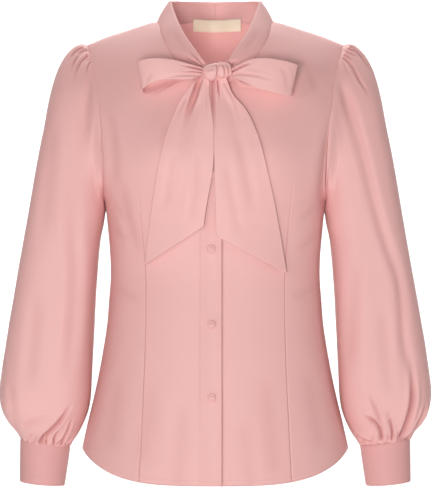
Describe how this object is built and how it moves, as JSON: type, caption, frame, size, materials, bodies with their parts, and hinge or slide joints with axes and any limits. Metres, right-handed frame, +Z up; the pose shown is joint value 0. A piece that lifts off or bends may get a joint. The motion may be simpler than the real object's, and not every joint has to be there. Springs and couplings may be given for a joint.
{
  "type": "tie neck blouse",
  "caption": "Long-sleeved button-front blouse in worn shape, with a folded neck band tied in a bow, waist darts, gathered cuffs and a curved hem.",
  "frame": {"origin": "middle of the wearer's neck, level with the neck end of the shoulder seams' slope", "axes": "+Z up, the garment's front faces -Y, +X towards the wearer's left arm"},
  "size_m": [0.5928, 0.2601, 0.6705],
  "materials": {
    "body": "satin",
    "button_placket": "satin",
    "sleeves": "satin",
    "cuffs": "satin",
    "neck_band": "satin",
    "bow": "satin",
    "buttons": "satin",
    "neck_label": "matte"
  },
  "bodies": {
    "root": {"front_right": "body", "front_left": "body", "back": "body", "button_placket": "button_placket", "sleeve_right": "sleeves", "sleeve_left": "sleeves", "cuff_right": "cuffs", "cuff_left": "cuffs", "neck_band_right": "neck_band", "neck_band_left": "neck_band", "bow_knot": "bow", "bow_loop_right": "bow", "bow_loop_left": "bow", "tie_tail_right": "bow", "tie_tail_left": "bow", "button_1": "buttons", "button_2": "buttons", "button_3": "buttons", "button_4": "buttons", "button_5": "buttons", "cuff_button_right": "buttons", "cuff_button_left": "buttons", "neck_label": "neck_label"}
  },
  "joints": []
}
